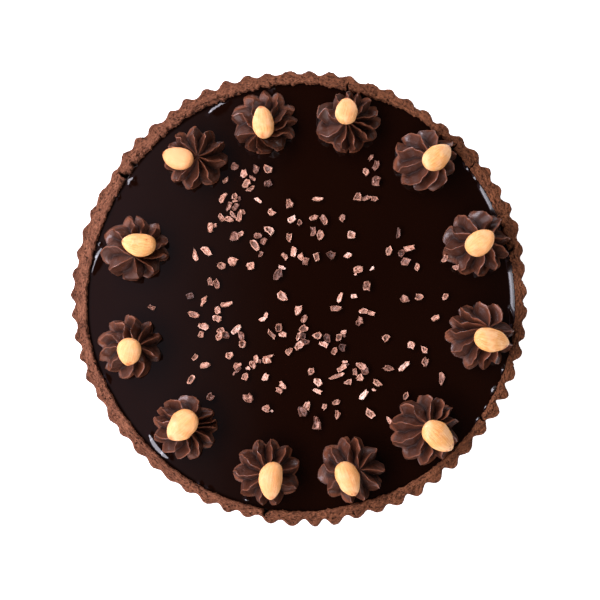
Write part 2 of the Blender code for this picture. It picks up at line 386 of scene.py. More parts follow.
def buildCrust(material):
    angle, radius, level = crustSurface()
    inner, outer = innerWall(angle, rimTop), rimRadius
    across = (radius - inner) / (outer - inner)  # 0 at the inner edge, 1 at the outer
    onTop = softStep(level, rimTop - 4 * mm, rimTop - 1 * mm)
    # crumb is longer round the rim than across it, so the way across is stretched before the waves are taken
    points = np.stack([radius * np.cos(angle), radius * np.sin(angle), level], -1)
    stretched = np.stack([points[..., 0], points[..., 1], radius * 2.0 + level], -1)
    crumb = sum(uneven(stretched, size * mm, seed) * high * mm for size, high, seed in crust["crumb"])
    crumb = crumb * softStep(level, 0, 4 * mm)
    dome = crust["domed"] * (1 - (2 * np.clip(across, 0, 1) - 1) ** 2)
    level = level + (crumb + dome - 0.3 * mm) * onTop * softStep(across, -0.15, 0.1)
    radius = radius + crumb * (1 - 0.8 * softStep(across, 0.6, 0.9))
    # pits: where two waves of crumb dip together the surface falls in
    pits = softStep(uneven(stretched, 2.2 * mm, 6) * uneven(stretched, 3.4 * mm, 7), 0.45, 1.2)
    level = level - pits * crust["pitDepth"] * onTop * softStep(across, 0, 0.12)
    # cracks across the rim
    # cracked gathers where the rim is painted dark as shade: in cracks, crumbled edges and splits
    cracked = np.zeros_like(level)
    for direction, start, end, width, depth, slant in crust["cracks"]:
        aside = ((np.degrees(angle) - direction + 180) % 360 - 180) / 180 * np.pi * rimRadius
        aside = aside - slant * across * 4 * mm + 0.35 * mm * np.sin(across * 9 + direction)
        taper = 1 - 0.8 * softStep(across, start, end)
        gap = np.exp(-np.abs(aside / (width * mm * taper)) ** 3)
        along = softStep(across, start - 0.15, start) * (1 - softStep(across, end - 0.08, end + 0.08))
        cracked = np.maximum(cracked, gap * along)
        level = level - gap * along * depth * mm * softStep(level, rimTop - 7 * mm, rimTop - 3 * mm)
    for start, end, reach in crust["crumbled"]:
        share = (np.degrees(angle) - start) / (end - start)
        broken = softStep(uneven(stretched, 2.4 * mm, 11), -0.1, 0.9)
        broken = broken * (1 - softStep(across, reach * 0.4, reach))
        broken = broken * softStep(share, 0, 0.15) * (1 - softStep(share, 0.85, 1))
        broken = broken * (level > rimTop - 4 * mm)
        cracked = np.maximum(cracked, broken * 0.85)
        level = level - broken * crust["crumbledDepth"]
    for start, end, middle, width, depth in crust["splits"]:
        share = (np.degrees(angle) - start) / (end - start)
        off = (across - middle - 0.04 * np.sin(share * 11)) * 11 / width
        gap = np.exp(-off ** 2) * softStep(share, 0, 0.2) * (1 - softStep(share, 0.8, 1))
        gap = gap * (level > rimTop - 5 * mm)
        cracked = np.maximum(cracked, gap)
        level = level - gap * depth * mm
    points = np.stack([radius * np.cos(angle), radius * np.sin(angle), np.maximum(level, 0)], -1)
    # painted light: the crust is paler on the side towards the lamps (the west), a little less so at its
    # outer edge
    lampSide = (0.5 - 0.5 * np.cos(angle)) ** 1.5
    pale = lampSide * (1 - 0.3 * softStep(across, 0.45, 0.95))
    # painted shade on the outer part of the rim on the lamp side; the wall is also darker lower down
    below = 1 - softStep(level, rimTop - 7 * mm, rimTop - 3 * mm)
    toast = np.maximum(lampSide * softStep(across, 0.62, 1.0), below)
    ends = withEnds(points, (0, 0, 0), (0, 0, fillingLow.z - 0.3 * mm))
    marks = {
        "cracked": np.append(cracked, (0, 0)),
        "pits": np.append(pits, (0, 0)),
        "outward": np.append(radius + level * 0.5, (0, 0)),
        "pale": np.append(pale, (0.5, 0.5)),
        "toast": np.append(toast, (0, 0)),
    }
    faces = closedFaces(*points.shape[:2])
    piece = addPiece("crustShell", ends, faces, material, ["crust"], marks)
    print("crust:", len(piece.data.polygons), "faces")


crustFinish = dict(
    dark=screen(58, 30, 16),
    middle=screen(107, 62, 37),
    light=screen(149, 92, 58),
    # lit copies of the colours above, painted on the side towards the lamps as painted light
    paleDark=screen(81, 47, 32),
    lampLitMiddle=screen(122, 75, 54),
    lampLitLight=screen(160, 106, 78),
    # painted shade for the lamp side's outer rim, also used for the darker lower wall
    toast=screen(84, 46, 30),
    # painted shade inside cracks, crumbled edges, splits, pits and pores
    pit=screen(26, 12, 7),
    roughness=0.85,
)


def crustMaterial():
    material, finish, shader = newMaterial("baked cocoa pastry")
    # the crumb runs round the rim: the noise changes faster with the distance from the middle
    outward = finish.attribute("outward")

    def streaks(size, detail, roughness, stretch):
        sockets = {"Vector": finish.place(), "W": outward * stretch, "Scale": 1 / size, "Detail": detail,
                   "Roughness": roughness}
        return finish.node("ShaderNodeTexNoise", {"noise_dimensions": "4D"}, sockets, "Fac")

    broad = finish.noise(9 * mm, 3, 0.55)
    coarse = streaks(2.2 * mm, 3, 0.65, 2.0)
    fine = streaks(0.8 * mm, 3, 0.7, 1.6)
    tone = broad * 0.2 + coarse * 0.32 + fine * 0.48
    shades = []
    for dark, middle, light in (("dark", "middle", "light"), ("paleDark", "lampLitMiddle", "lampLitLight")):
        stops = ((0.36, crustFinish[dark]), (0.49, crustFinish[middle]), (0.64, crustFinish[light]))
        shades.append(finish.node("ShaderNodeValToRGB", {"stops": stops}, {"Fac": tone}, "Color"))
    # painted light: paler crust on the side towards the lamps
    colour = finish.blend(finish.attribute("pale"), *shades)
    # painted shade on the lamp side's outer rim, and darker lower down the wall
    colour = finish.blend(finish.attribute("toast") * 0.6, colour, crustFinish["toast"])
    # painted shade: pores, cracks, crumbled edges, splits and pits are darkened towards the pit colour
    hole = 1 - finish.step(streaks(1.1 * mm, 2, 0.5, 1.5), 0.34, 0.41)
    crack = finish.attribute("cracked")
    dark = finish.node("ShaderNodeMath", {"operation": "MAXIMUM"}, {0: hole * 0.75, 1: crack * 0.95})
    paintedPitShade = finish.attribute("pits") * 0.55
    dark = finish.node("ShaderNodeMath", {"operation": "MAXIMUM"}, {0: dark, 1: paintedPitShade})
    finish.feed(shader.inputs["Base Color"], finish.blend(dark, colour, crustFinish["pit"]))
    height = coarse * 0.6 + fine * 0.6 - hole * 0.5
    finish.feed(shader.inputs["Normal"], finish.bump(height, 0.8 * mm))
    shader.inputs["Roughness"].default_value = crustFinish["roughness"]
    shader.inputs["Specular IOR Level"].default_value = 0.2
    return material


# the filling

filling = dict(
    firstRow=0.04,  # how far out the innermost row is, as a share of the way
    rows=(0.35, 0.6, 0.78, 0.86),  # shares of the way out, before the close rows at the edge
    edgeBand=17 * mm,
    edgeRows=72,
    columns=1200,
    # where the glaze climbs the wall: from and to in degrees, how high and how far out from the wall in mm
    climbs=((351, 369, 1.75, 2.7), (378, 391, 1.45, 2.2)),
    rise=0.12,  # at the wall all round, in mm
    roughness=0.07,
    smeared=0.2,  # how much rougher the glaze is where it climbs
    darkest=(0.0050, 0.0011, 0.0004),
    lightest=(0.0068, 0.0017, 0.0006),
    # beads of glaze: from and to in degrees, distance from the wall at either end, width and height in mm;
    # the straight slope is towards the wall, or away from it where the width is below 0
    beads=(
        (97.3, 98.1, 1.8, 1.8, 1.3, 0.45), (110.9, 116.6, 2.2, 4.2, 2.2, 0.60),
        (145.7, 147.5, 3.1, 3.1, 2.3, 0.67), (151.8, 152.8, 1.5, 1.5, 1.0, 0.38),
        (166.1, 166.7, 2.2, 2.2, 1.2, 0.46), (167.6, 174.4, 4.3, 1.8, 2.2, 0.67),
        (203.0, 205.2, 2.0, 2.0, 1.4, 0.40), (223.9, 231.3, 5.1, 3.3, 2.8, 0.99),
        (242.0, 242.8, 1.4, 1.4, 1.0, 0.42), (244.4, 245.9, 1.3, 1.3, 1.0, 0.42),
        (255.2, 256.0, 3.0, 3.0, 1.1, 0.48), (323.8, 324.5, 0.6, 0.6, -1.1, 0.70),
        (327.6, 328.3, 0.5, 0.5, -0.9, 0.58), (332.5, 333.6, 1.3, 1.3, -1.7, 1.10),
        (338.7, 339.8, 0.6, 0.6, -1.5, 0.98), (352.6, 356.0, 0.8, 3.4, -1.3, 0.85),
        (33.0, 34.2, 0.4, 0.4, -1.2, 0.80), (36.4, 38.0, 0.8, 0.8, -1.5, 1.00),
    ),
)


# the glaze is flat but for a faint rise at the wall, stretches that climb it and beads that lie on it: a bead
# has a straight slope on one side of its line and eases off on the other, and tapers to both ends
def glazeHeight(angle, fromWall, points):
    degrees = np.degrees(angle)
    height = uneven(points, 60 * mm, 22) * 0.04 * mm * softStep(fromWall, 0, 20 * mm)
    height = height + filling["rise"] * mm * np.exp(-(np.maximum(fromWall, 0) / (0.8 * mm)) ** 1.5)
    smear = np.zeros_like(fromWall)
    for start, end, rise, reach in filling["climbs"]:
        share = ((degrees - (start + end) / 2 + 180) % 360 - 180) / (end - start) + 0.5
        hold = softStep(share, -0.08, 0.1) * (1 - softStep(share, 0.9, 1.08))
        height = height + rise * mm * hold * (1 - fromWall / (reach * mm)).clip(0, 1) ** 1.1
        smear = np.maximum(smear, hold * (1 - fromWall / (1.5 * reach * mm)).clip(0, 1))
    for start, end, first, last, width, rise in filling["beads"]:
        share = ((degrees - (start + end) / 2 + 180) % 360 - 180) / (end - start) + 0.5
        middle = first + (last - first) * share.clip(0, 1) - 0.3 * np.sin(np.pi * share.clip(0, 1))
        past = (np.abs(share - 0.5) - 0.5).clip(0) * math.radians(end - start) * 130 / abs(width)
        swell = 1 - 0.5 * (np.abs(2 * share - 1).clip(0, 1)) ** 3
        down = (middle - fromWall / mm) / (width * swell)
        across = np.where(down > 0, (1 - down).clip(0), np.exp(-(down / 1.2) ** 2))
        height = height + rise * mm * swell * across * np.exp(-(1.4 * past) ** 2)
    return height, smear


def buildFilling(material):
    angle = np.arange(filling["columns"])[None, :] / filling["columns"] * fullTurn
    top = fillingHigh.z
    wall = innerWall(angle, top) + 0.15 * mm
    band = filling["edgeBand"]
    out = [wall * filling["firstRow"]] + [share * (wall - band) for share in filling["rows"]]
    out += [wall - band * (1 - share) for share in np.linspace(0, 1, filling["edgeRows"])]
    radius = np.array(out)[:, 0, :]
    flat = np.stack([radius * np.cos(angle), radius * np.sin(angle), np.zeros_like(radius)], -1)
    height, smear = glazeHeight(angle, innerEdge(angle) - radius, flat)
    height = height + top
    low = fillingLow.z
    levels = (top - 4 * mm, (top + low) / 2, low)
    lower = np.array([innerWall(angle, z) + 0.1 * mm for z in levels])[:, 0, :]
    lower = np.vstack([lower, lower[-1:] * 0.5])
    lowerZ = np.array([*levels, low])[:, None] + np.zeros_like(lower)
    radius, height = np.vstack([radius, lower]), np.vstack([height, lowerZ])
    grid = np.stack([radius * np.cos(angle), radius * np.sin(angle), height], -1)[::-1]
    ends = withEnds(grid, (0, 0, low), (0, 0, height[0].mean()))
    smear = np.vstack([smear, np.zeros_like(lower)])[::-1]
    marks = {"smear": np.append(smear, (0, 0))}
    faces = closedFaces(*grid.shape[:2])
    piece = addPiece("ganacheFilling", ends, faces, material, ["filling"], marks)
    print("filling:", len(piece.data.polygons), "faces")


def fillingMaterial():
    material, finish, shader = newMaterial("glossy dark ganache")
    roughness = filling["roughness"] + finish.attribute("smear") * filling["smeared"]
    finish.feed(shader.inputs["Roughness"], roughness)
    shader.inputs["IOR"].default_value = 1.45
    cloud = finish.noise(70 * mm, 2)
    finish.feed(shader.inputs["Base Color"], finish.blend(cloud, filling["darkest"], filling["lightest"]))
    finish.feed(shader.inputs["Normal"], finish.bump(finish.noise(25 * mm, 1), 0.05 * mm))
    return material


# the rosettes

rosette = dict(
    rows=56,
    columnsPerFin=26,
    # outlines from tip to foot, as shares of the radius and the height, and how full the fins are going down
    fin=((0.0, 1.0), (0.38, 0.93), (0.72, 0.74), (0.94, 0.40), (0.99, 0.0)),
    groove=((0.0, 1.0), (0.19, 0.74), (0.42, 0.40), (0.66, 0.14), (0.80, 0.0)),
    fullness=(0.5, 0.52, 0.62, 0.78, 1.0, 1.4),
    tipLean=0.6,
    crestRounding=0.05,
    crestHeight=0.7,
    crestWidth=0.28,
    crestsFrom=0.25,
    crestSway=2.2,
    dragged=20,  # the way the piping was pulled, in degrees: it turns each groove to one side
)

# each rosette, going round: radius, height and where its tip lies in mm, how far its grooves are dragged
# aside, and where each of its crests points, in degrees, at even steps from a quarter of the way down to the
# foot
rosettes = (
    dict(radius=21.0, height=17, tip=(1.5, 0), drag=0.15, crests=(
        (10, 5, 6, 10), (32, 40, 50, 58), (72, 62, 75, 98), (108, 118, 119, 122), (152, 160, 150, 170),
        (197, 199, 191, 203), (238, 241, 241, 250), (283, 274, 270, 278), (322, 306, 302, 312),
        (346, 340, 338, 336))),
    dict(radius=19.8, height=17, tip=(3, -1.5), drag=0.2, crests=(
        (15, 15, 10, 8), (30, 32, 34, 36), (64, 73, 76, 98), (118, 112, 126, 134),
        (152, 150, 158, 166, 160, 150, 150), (200, 199, 199, 192), (258, 248, 233, 224), (302, 283, 262, 254),
        (326, 314, 298, 286), (358, 352, 342, 334))),
    dict(radius=20.6, height=17, tip=(-1.5, -3.5), drag=0.1, crests=(
        (12, 9, 17, 25), (30, 43, 45, 50), (60, 66, 70, 68), (88, 86, 86, 84), (112, 112, 108, 105),
        (172, 167, 160, 148, 143, 158, 171, 164, 154, 150, 150, 150, 150), (234, 219, 205, 200),
        (270, 260, 262, 266), (294, 290, 282, 280), (324, 322, 325, 330), (350, 346, 351, 363))),
    dict(radius=21.0, height=15, tip=(-4, -11.5), drag=0.2, crests=(
        (8, 14, 17, 6), (35, 33, 36, 28), (55, 57, 62, 64), (80, 79, 78, 90), (110, 105, 106, 128),
        (137, 135, 152, 162), (182, 193, 203, 212), (228, 236, 238, 238), (262, 272, 269, 262),
        (304, 318, 314, 302), (347, 356, 350, 333))),
    dict(radius=20.4, height=16, tip=(2.5, -2.5), drag=0, crests=(
        (19, 31, 31, 27), (67, 71, 68, 58), (104, 99, 96, 93), (137, 135, 134, 126), (158, 158, 156, 153),
        (196, 195, 194, 194), (232, 230, 226, 225), (276, 266, 258, 256), (304, 300, 303, 314),
        (341, 350, 354, 362))),
    dict(radius=21.2, height=16, tip=(1.5, -8), drag=0.2, crests=(
        (15, 18, 20, 18), (47, 49, 52, 45), (72, 74, 77, 86), (98, 97, 94, 101),
        (122, 122, 124, 124, 130, 143, 155), (155, 156, 175, 198), (209, 209, 219, 233), (281, 276, 258, 250),
        (326, 319, 312, 296), (350, 357, 357, 346))),
    dict(radius=20.2, height=17, tip=(6.5, -1), drag=0.3, crests=(
        (26, 26, 25, 22), (70, 60, 57, 51), (114, 94, 97, 97), (150, 119, 126, 131), (174, 155, 160, 169),
        (190, 179, 187, 201), (205, 213, 224, 223), (266, 262, 255, 256),
        (278, 297, 286, 281, 279, 282, 286), (339, 336, 336, 340))),
    dict(radius=19.9, height=17, tip=(2, 0), drag=0.2, crests=(
        (16, 13, 12, 12), (36, 30, 29, 28), (62, 59, 72, 94), (100, 100, 118, 131), (140, 142, 143, 146),
        (158, 167, 165, 163), (212, 209, 193, 203), (236, 245, 232, 227), (276, 278, 280, 274, 261, 256, 256),
        (309, 305, 292, 283), (340, 337, 330, 327), (358, 363, 362, 361))),
    dict(radius=20.6, height=17, tip=(0.5, 0), drag=0, crests=(
        (9, 10, 16, 20), (39, 49, 51, 50), (72, 82, 83, 82), (113, 112, 107, 105), (154, 148, 145, 144),
        (190, 186, 179, 178), (224, 219, 217, 222), (250, 255, 259, 262), (284, 284, 284, 284),
        (322, 327, 332, 332))),
    dict(radius=20.4, height=17, tip=(5, 0), drag=0, crests=(
        (4, -3, 0, 9), (54, 48, 44, 38), (98, 87, 90, 90, 88, 84, 80), (142, 118, 110, 110, 109, 104, 100),
        (168, 152, 141, 137), (192, 191, 188, 178, 171, 180, 197), (198, 204, 219, 232), (246, 250, 262, 270),
        (270, 277, 287, 295), (316, 321, 325, 329))),
    dict(radius=21.6, height=17, tip=(1.5, 3), drag=0.3, crests=(
        (3, 11, 12, 16), (22, 32, 40, 42), (34, 51, 64, 67), (82, 82, 88, 100), (142, 129, 136, 133),
        (183, 171, 175, 171), (219, 214, 204, 199), (252, 252, 244, 234), (279, 277, 272, 260),
        (301, 300, 298, 302), (338, 338, 338, 338))),
    dict(radius=20.8, height=17, tip=(4.5, 4.5), drag=0.2, crests=(
        (26, 45, 66, 72, 70, 66, 64), (80, 98, 98, 89), (143, 148, 143, 136, 132, 126, 122),
        (165, 165, 158, 148), (188, 186, 180, 178), (218, 217, 217, 209), (246, 247, 248, 251),
        (273, 272, 269, 275), (294, 293, 293, 305), (325, 328, 330, 335), (352, 354, 360, 368))),
)


# a piped star: going round, each ring swings between the fins' outline and the grooves' outline by a power of
# the share of the way from crest to groove; crests wander on the way down, and rings lean towards the tip
def rosetteSurface(style, seed):
    rng = np.random.default_rng(seed)
    count = len(style["crests"])
    down = np.linspace(0, 1, rosette["rows"] + 1)[1:, None] ** 0.9
    fromTop = (down[:, 0] - rosette["crestsFrom"]) / (1 - rosette["crestsFrom"])
    crests = np.stack([curveThrough(places, fromTop) for places in style["crests"]], -1)
    phase = rng.uniform(0, fullTurn, (2, count))
    sway = np.sin(fullTurn * 2.1 * down + phase[0]) + 0.6 * np.sin(fullTurn * 4.3 * down + phase[1])
    crests = crests + rosette["crestSway"] * sway * softStep(down, 0.1, 0.5)
    turn = np.arange(count * rosette["columnsPerFin"])[None, :] / rosette["columnsPerFin"]
    before = np.floor(turn).astype(int)[0]
    after = (before + 1) % count
    even = turn - before
    share = 0.5 * even + 0.25 * (1 - np.cos(np.pi * even))
    gap = np.maximum(crests[:, after] + np.where(after == 0, 360, 0) - crests[:, before], 6)
    middle = np.radians(crests[:, before] + gap / 2)
    groove = np.clip(0.5 + style["drag"] * np.sin(math.radians(rosette["dragged"]) - middle), 0.15, 0.85)
    fromFin = np.where(share < groove, share / groove, (1 - share) / (1 - groove))
    # each fin's own reach and height, blended from one fin to the next
    ease = share * share * (3 - 2 * share)
    own = rng.normal(size=(2, count))
    reach, rise = own[:, before] * (1 - ease) + own[:, after] * ease
    outline = curveThrough(rosette["fin"], down[:, 0])[:, None, :]
    floor = curveThrough(rosette["groove"], down[:, 0])[:, None, :]
    fullness = curveThrough(rosette["fullness"], down[:, 0])[:, None]
    rounding = rosette["crestRounding"]
    rounded = (np.hypot(fromFin, rounding) - rounding) / (math.hypot(1, rounding) - rounding)
    depth = (rounded ** fullness)[..., None]
    ring = outline * (1 - depth) + floor * depth
    ring[..., 0] *= 1 + 0.03 * reach * down
    ring[..., 1] *= 1 + 0.05 * rise * np.sin(np.pi * down) ** 2
    # the thin ridge along each crest
    aside = np.minimum(share, 1 - share) * np.radians(gap) * style["radius"] * ring[..., 0]
    crest = np.exp(-(aside / rosette["crestWidth"]) ** 2) * softStep(down, 0.02, 0.12)
    ridge = crest * rosette["crestHeight"] * (1 - softStep(down, 0.9, 1.0))
    angle = np.radians(crests[:, before] + share * gap)
    lean = np.clip(ring[..., 1], 0, 1) ** rosette["tipLean"]
    across = style["radius"] * ring[..., 0] + ridge * 0.6
    x = across * np.cos(angle) + style["tip"][0] * lean
    y = across * np.sin(angle) + style["tip"][1] * lean
    hold = np.minimum(1, 0.99 * style["radius"] / np.hypot(x, y))
    z = style["height"] * ring[..., 1] + ridge * 0.8
    points = np.stack([x * hold, y * hold, z], -1) * mm
    tip = np.array([style["tip"][0], style["tip"][1], style["height"]]) * mm
    # the lip that runs on from the crests along the lower edge of some fins, a paler line in the crest mark
    # only: partly the edge's own colour, partly a painted highlight
    lip = softStep(down, 0.80, 0.9) * (1 - softStep(down, 0.94, 1)) * (0.5 + 0.35 * reach).clip(0, 0.8)
    return points, tip, np.maximum(crest, lip), fromFin, down + np.zeros_like(fromFin)


# where ganache would be inside the crust it is pressed back to the wall, and what is above the rim stays
# on it
def pressedToRim(points):
    angle = np.arctan2(points[..., 1], points[..., 0])
    out = np.hypot(points[..., 0], points[..., 1])
    room = innerWall(angle, np.minimum(points[..., 2], rimTop)) - 0.2 * mm
    over = softStep(points[..., 2], rimTop - 0.1 * mm, rimTop + 0.25 * mm)
    held = np.minimum(out, room)
    new = held + (out - held) * over
    return np.concatenate([points[..., :2] * (new / out)[..., None], points[..., 2:]], -1)


def buildRosettes(material):
    for number, style in enumerate(rosettes, start=1):
        node = f"rosette_{number:02d}"
        points, tip, crest, fromFin, down = rosetteSurface(style, 100 + number)
        ends = withEnds(points[::-1], (0, 0, 0), tip)
        for size, depth in ((7 * mm, 0.14 * mm), (2.6 * mm, 0.07 * mm)):
            ends = ends + uneven(ends, size, 200 + number)[:, None] * depth * np.array((1, 1, 0.6))
        ends[:, 2] = np.maximum(ends[:, 2], 0)
        ends = fitToNode(ends, node)
        ends = pressedToRim(ends)
        marks = {
            "crest": np.append(crest[::-1], (0, 0)),
            "across": np.append(fromFin[::-1], (1, 0)),
            "down": np.append(down[::-1], (1, 0)),
        }
        faces = closedFaces(*points.shape[:2])
        addPiece(f"pipedRosette_{number:02d}", ends, faces, material, [node], marks)
    print("rosettes:", len(rosettes))


def rosetteMaterial():
    material, finish, shader = newMaterial("piped ganache")
    crest = finish.attribute("crest")
    cloud = finish.noise(6 * mm, 3)
    across = finish.attribute("across")
    crease = finish.step(across, 0.5, 1.0)
    flank = finish.blend(cloud, screen(60, 31, 20), screen(82, 46, 32))
    # painted shade: the creases between the fins are darkened
    flank = finish.blend(crease * 0.72, flank, screen(28, 13, 8))
    # paler crest lines: partly the thin ganache edge's own lighter colour, partly a painted highlight
    finish.feed(shader.inputs["Base Color"], finish.blend(crest * 0.9, flank, screen(128, 74, 50)))
    finish.feed(shader.inputs["Roughness"], 0.26 + finish.noise(3 * mm, 2) * 0.16 + crease * 0.3)
    finish.feed(shader.inputs["Coat Weight"], (1 - crease) * 0.4)
    shader.inputs["Coat Roughness"].default_value = 0.12
    # faint lines along each fin, left by the nozzle
    combed = finish.node("ShaderNodeCombineXYZ", {}, {"X": across * 10, "Y": finish.attribute("down") * 1.5})
    lines = finish.noise(1, 2, 0.5, combed)
    finish.feed(shader.inputs["Normal"], finish.bump(lines + finish.noise(1.6 * mm, 2) * 0.4, 0.5 * mm))
    shader.inputs["Specular IOR Level"].default_value = 0.25
    return material


# the almonds

almond = dict(
    rows=40,
    columns=48,
    bluntness=0.45,
    widest=0.43,  # share of the length, from the blunt end
    thickness=8.6,
    furrowDepth=0.006,
    grainLength=2.4,
    grainAcross=11,
)

# each almond: length and width in mm, the way its point faces, how far it dips, how deep its tone is, and its
# orange spots: share of the way to the point, how far aside as a share of the half width, size as a share of
# the length, and strength
almonds = (
    dict(length=19.5, width=15.0, heading=35, dip=-22, tone=0.35, spots=((0.3, -0.4, 0.10, 0.3),)),
    dict(length=21.2, width=14.6, heading=41, dip=10, tone=0.1, spots=((0.94, 0, 0.05, 0.6),)),
    dict(length=18.5, width=14.4, heading=84, dip=16, tone=0.4, spots=((0.94, 0.1, 0.07, 1.0),)),
    dict(length=20.8, width=13.6, heading=98, dip=2, tone=0.35,
         spots=((0.96, 0, 0.07, 0.9), (0.08, 0.2, 0.08, 0.6))),
    dict(length=21.5, width=14.2, heading=158, dip=20, tone=0.95, spots=((0.96, 0, 0.07, 0.9),)),
    dict(length=20.6, width=14.6, heading=173, dip=-8, tone=0.2,
         spots=((0.97, 0, 0.04, 0.8), (0.30, -0.45, 0.035, 0.9))),
    dict(length=17.4, width=15.0, heading=257, dip=24, tone=0.5,
         spots=((0.90, 0.15, 0.07, 1.0), (0.80, 0.3, 0.04, 0.8))),
    dict(length=21.6, width=16.6, heading=225, dip=4, tone=0.5,
         spots=((0.95, 0.1, 0.07, 0.8), (0.5, -0.8, 0.10, 0.5))),
    dict(length=22.6, width=14.6, heading=264, dip=10, tone=0.6, spots=((0.93, 0.2, 0.06, 0.5),)),
    dict(length=21.6, width=14.0, heading=293, dip=10, tone=0.35,
         spots=((0.94, 0.1, 0.05, 1.0), (0.91, -0.2, 0.03, 1.0))),
    dict(length=23.4, width=15.4, heading=318, dip=16, tone=0,
         spots=((0.91, 0.3, 0.035, 1.0), (0.93, -0.1, 0.03, 1.0),
                (0.86, 0.05, 0.025, 1.0), (0.88, -0.4, 0.03, 0.9))),
    dict(length=22.4, width=15.0, heading=348, dip=12, tone=0,
         spots=((0.92, -0.3, 0.05, 1.0), (0.87, -0.5, 0.04, 0.8))),
)


# a teardrop: the girth at each share of the length is that share to one power times the rest to another
def almondSurface(style, seed):
    rng = np.random.default_rng(seed)
    along = ((1 - np.cos(np.linspace(0, np.pi, almond["rows"] + 2)[1:-1])) / 2)[:, None]
    around = np.arange(almond["columns"])[None, :] / almond["columns"] * fullTurn
    blunt = almond["bluntness"]
    pointed = blunt * (1 - almond["widest"]) / almond["widest"]
    fullest = almond["widest"] ** blunt * (1 - almond["widest"]) ** pointed
    girth = along ** blunt * (1 - along) ** pointed / fullest
    phase = rng.uniform(0, fullTurn, 4)
    oval = 0.018 * np.cos(2 * around + phase[0])
    twisted = 0.02 * np.cos(3 * around + 4 * along + phase[1])
    girth = girth * (1 + oval + twisted)
    # shallow furrows that run the length of the nut
    furrow = np.cos(13 * around + 1.5 * along + phase[2]) + 0.7 * np.cos(19 * around - along + phase[3])
    girth = girth * (1 + almond["furrowDepth"] * furrow * np.sin(np.pi * along))
    # a little lopsided, and flatter towards the blunt end
    bent = 0.035 * np.sin(3 * np.pi * along + phase[0]) + 0.018 * np.sin(6 * np.pi * along + phase[2])
    girth = girth * (1 + bent * np.cos(around - phase[1]))
    x = (along - 0.5) * style["length"] + 0 * around
    y = girth * np.cos(around) * style["width"] / 2 + 0.45 * np.sin(np.pi * along) * rng.normal()
    z = girth * np.sin(around) * almond["thickness"] / 2
    points = np.stack([x, y, z], -1) * mm
    first, last = (np.array((side * style["length"] / 2 * mm, 0, 0)) for side in (-1, 1))
    points = withEnds(points[:, ::-1], first, last)
    dip, heading = math.radians(style["dip"]), math.radians(style["heading"])
    level, low = math.cos(dip), math.sin(dip)
    ahead, aside = math.cos(heading), math.sin(heading)
    tilted = points @ np.array([[level, 0, -low], [0, 1, 0], [low, 0, level]])
    turned = tilted @ np.array([[ahead, aside, 0], [-aside, ahead, 0], [0, 0, 1]])
    return turned, along, around, girth


def buildAlmonds(material):
    for number, style in enumerate(almonds, start=1):
        node = f"almond_{number:02d}"
        points, along, around, girth = almondSurface(style, 300 + number)
        points = fitToNode(points, node)
        aside = girth * np.cos(around)
        spots = np.zeros_like(aside)
        for way, side, size, strength in style["spots"]:
            far = np.hypot(along - way, (aside - side) * 0.35) / size
            spots = np.maximum(spots, strength * np.exp(-far ** 3) * (np.sin(around) > -0.2))
        marks = {
            "spots": np.append(spots[:, ::-1], (0, spots[-1].max())),
            "along": np.append(along + 0 * around, (0, 1)),
            "upper": np.append((np.sin(around) + 0 * along)[:, ::-1], (0, 0)),
            "side": np.append((np.cos(around) + 0 * along)[:, ::-1], (0, 0)),
            "tone": np.full(len(points), style["tone"]),
        }
        faces = closedFaces(almond["rows"], almond["columns"])
        addPiece(f"blanchedAlmond_{number:02d}", points, faces, material, [node], marks)
    print("almonds:", len(almonds))


def almondMaterial():
    material, finish, shader = newMaterial("blanched almond")
    along, upper, side = (finish.attribute(name) for name in ("along", "upper", "side"))
    # streaks that waver on their way along the nut, and fine wrinkles across them
    place = finish.place()
    waver = finish.noise(5 * mm, 2) * 1.6
    ways = {"X": along * almond["grainLength"], "Y": side * almond["grainAcross"] + waver,
            "Z": upper * almond["grainAcross"]}
    grain = finish.node("ShaderNodeCombineXYZ", {}, ways)
    streaks = finish.noise(1, 4, 0.65, grain)
    broad = finish.noise(6 * mm, 3, 0.6)
    flesh = finish.blend(finish.step(streaks, 0.40, 0.60) * 0.9, screen(247, 184, 108), screen(230, 146, 72))
    flesh = finish.blend(finish.step(broad, 0.42, 0.66) * 0.5, flesh, screen(252, 208, 158))
    pale = finish.step(finish.noise(1.3 * mm, 3, 0.6, place), 0.58, 0.72)
    flesh = finish.blend(pale * 0.4, flesh, screen(255, 226, 188))
    flesh = finish.blend(finish.attribute("tone"), flesh, screen(222, 152, 92))
    spots = finish.attribute("spots") * (0.5 + finish.noise(0.9 * mm, 2))
    finish.feed(shader.inputs["Base Color"], finish.blend(spots, flesh, screen(190, 98, 28)))
    finish.feed(shader.inputs["Normal"], finish.bump(streaks + broad * 0.5, 0.45 * mm))
    shader.inputs["Roughness"].default_value = 0.42
    shader.inputs["Specular IOR Level"].default_value = 0.5
    return material


# the cocoa nibs

